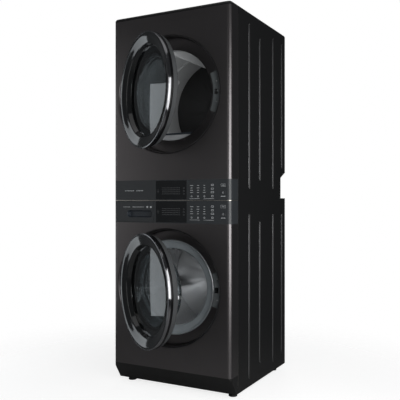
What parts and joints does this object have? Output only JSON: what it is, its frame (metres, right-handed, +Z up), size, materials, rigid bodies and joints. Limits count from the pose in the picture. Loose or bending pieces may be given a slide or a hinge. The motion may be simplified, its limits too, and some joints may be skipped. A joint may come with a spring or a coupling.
{
  "type": "washer dryer stack",
  "caption": "Stacked front-loading washer and vented dryer in one tall cabinet, with a control band between two round glass doors.",
  "frame": {"origin": "middle of the bounding box at floor level, under the feet, with both doors ajar as at rest", "axes": "+Z up, along the longest side; +X to the right of someone facing the doors, across the shortest side; +Y from the doors to the back"},
  "size_m": [0.686, 1.0198, 1.924],
  "materials": {
    "titanium_steel": "satin dark titanium coat",
    "black_steel": "semi-gloss black coat",
    "zinc_steel": "galvanised",
    "fascia_grey": "satin",
    "bright_trim": "satin",
    "black_gloss": "high gloss",
    "chrome_trim": "dark polished",
    "tinted_glass": "smoked",
    "clear_glass": "clear",
    "dark_plastic": "moulded",
    "grey_plastic": "moulded",
    "blue_grey_plastic": "moulded",
    "rubber": "matt",
    "stainless_steel": "polished",
    "drum_paint": "powder coat",
    "cast_metal": "cast",
    "cast_iron": "raw"
  },
  "bodies": {
    "cabinet": {"base_pan": "zinc_steel", "levelling_feet": "zinc_steel", "kick_panel": "black_steel", "washer_side_panels": "black_steel", "washer_back_panel": "zinc_steel", "washer_front_panel": "titanium_steel", "mid_deck": "zinc_steel", "dryer_side_panels": "black_steel", "dryer_back_panel": "zinc_steel", "dryer_front_panel": "titanium_steel", "top_panel": "black_steel", "washer_fascia": "fascia_grey", "dryer_fascia": "fascia_grey", "fascia_trim": "bright_trim", "display_windows": "black_gloss", "panel_screws": "zinc_steel", "door_hinge_brackets": "zinc_steel", "lock_plates": "dark_plastic", "washer_tub": "grey_plastic", "washer_bellows": "rubber", "washer_motor": "cast_metal", "drive_belts": "rubber", "washer_counterweight": "cast_iron", "tub_suspension": "zinc_steel", "dispenser_box": "grey_plastic", "drain_pump": "grey_plastic", "inlet_valves": "grey_plastic", "dryer_bulkhead": "grey_plastic", "dryer_motor": "cast_metal", "blower_housing": "zinc_steel", "heater_box": "zinc_steel"},
    "washer_door": {"washer_door_ring": "black_gloss", "washer_door_trim": "chrome_trim", "washer_door_window": "tinted_glass", "washer_door_frame": "dark_plastic", "washer_door_bowl": "clear_glass", "washer_door_hinge": "zinc_steel"},
    "washer_hook": {"washer_door_hook": "zinc_steel"},
    "dryer_door": {"dryer_door_ring": "black_gloss", "dryer_door_trim": "chrome_trim", "dryer_door_window": "tinted_glass", "dryer_door_frame": "dark_plastic", "dryer_door_bowl": "clear_glass", "dryer_door_hinge": "zinc_steel", "dryer_door_catch": "zinc_steel"},
    "washer_drum": {"washer_drum": "stainless_steel", "washer_drum_lifters": "grey_plastic", "washer_drum_pulley": "cast_metal"},
    "washer_motor_shaft": {"washer_motor_pulley": "stainless_steel"},
    "dryer_drum": {"dryer_drum": "drum_paint", "dryer_drum_vanes": "drum_paint"},
    "dryer_motor_shaft": {"dryer_motor_pulley": "stainless_steel", "blower_wheel": "dark_plastic"},
    "dryer_idler": {"dryer_idler_pulley": "dark_plastic"},
    "detergent_drawer": {"detergent_drawer": "fascia_grey"},
    "lint_filter": {"lint_filter": "blue_grey_plastic"},
    "washer_power_key": {"washer_power_key": "fascia_grey"},
    "washer_start_key": {"washer_start_key": "fascia_grey"},
    "dryer_power_key": {"dryer_power_key": "fascia_grey"},
    "dryer_start_key": {"dryer_start_key": "fascia_grey"}
  },
  "joints": [
    {"name": "washer_door_hinge", "type": "hinge", "parent": "cabinet", "child": "washer_door", "pos_m": [-0.2754, -0.21078, 0.525], "axis": [0, 0, -1], "range_deg": [-32, 60]},
    {"name": "washer_hook_pivot", "type": "hinge", "parent": "washer_door", "child": "washer_hook", "pos_m": [0.17435, -0.45986, 0.525], "axis": [0, 0, 1], "range_deg": [0, 12], "stiffness_Nm_per_rad": 0.4},
    {"name": "dryer_door_hinge", "type": "hinge", "parent": "cabinet", "child": "dryer_door", "pos_m": [-0.2754, -0.21078, 1.502], "axis": [0, 0, -1], "range_deg": [-32, 60]},
    {"name": "washer_drum_spin", "type": "hinge", "parent": "cabinet", "child": "washer_drum", "pos_m": [-0.016, 0.13632, 0.525], "axis": [0, 1, 0], "continuous": true},
    {"name": "washer_motor_spin", "type": "hinge", "parent": "cabinet", "child": "washer_motor_shaft", "pos_m": [0.11, 0.38632, 0.135], "axis": [0, 1, 0], "continuous": true},
    {"name": "dryer_drum_spin", "type": "hinge", "parent": "cabinet", "child": "dryer_drum", "pos_m": [-0.016, 0.13632, 1.502], "axis": [0, 1, 0], "continuous": true},
    {"name": "dryer_motor_spin", "type": "hinge", "parent": "cabinet", "child": "dryer_motor_shaft", "pos_m": [0.06, 0.08632, 1.085], "axis": [0, 1, 0], "continuous": true},
    {"name": "dryer_idler_spin", "type": "hinge", "parent": "cabinet", "child": "dryer_idler", "pos_m": [-0.05739, 0.14632, 1.12385], "axis": [0, 1, 0], "continuous": true},
    {"name": "detergent_drawer_slide", "type": "slide", "parent": "cabinet", "child": "detergent_drawer", "axis": [0, -1, 0], "range_m": [0, 0.23]},
    {"name": "lint_filter_slide", "type": "slide", "parent": "cabinet", "child": "lint_filter", "axis": [0, 0, 1], "range_m": [0, 0.11]},
    {"name": "washer_power_key_press", "type": "slide", "parent": "cabinet", "child": "washer_power_key", "axis": [0, 1, 0], "range_m": [0, 0.0015], "stiffness_N_per_m": 600, "springref_m": -0.001},
    {"name": "washer_start_key_press", "type": "slide", "parent": "cabinet", "child": "washer_start_key", "axis": [0, 1, 0], "range_m": [0, 0.0015], "stiffness_N_per_m": 600, "springref_m": -0.001},
    {"name": "dryer_power_key_press", "type": "slide", "parent": "cabinet", "child": "dryer_power_key", "axis": [0, 1, 0], "range_m": [0, 0.0015], "stiffness_N_per_m": 600, "springref_m": -0.001},
    {"name": "dryer_start_key_press", "type": "slide", "parent": "cabinet", "child": "dryer_start_key", "axis": [0, 1, 0], "range_m": [0, 0.0015], "stiffness_N_per_m": 600, "springref_m": -0.001}
  ],
  "couplings": [
    {"joint": "washer_motor_spin", "follows": "washer_drum_spin", "ratio": 12.5},
    {"joint": "dryer_motor_spin", "follows": "dryer_drum_spin", "ratio": 30},
    {"joint": "dryer_idler_spin", "follows": "dryer_drum_spin", "ratio": -12}
  ]
}
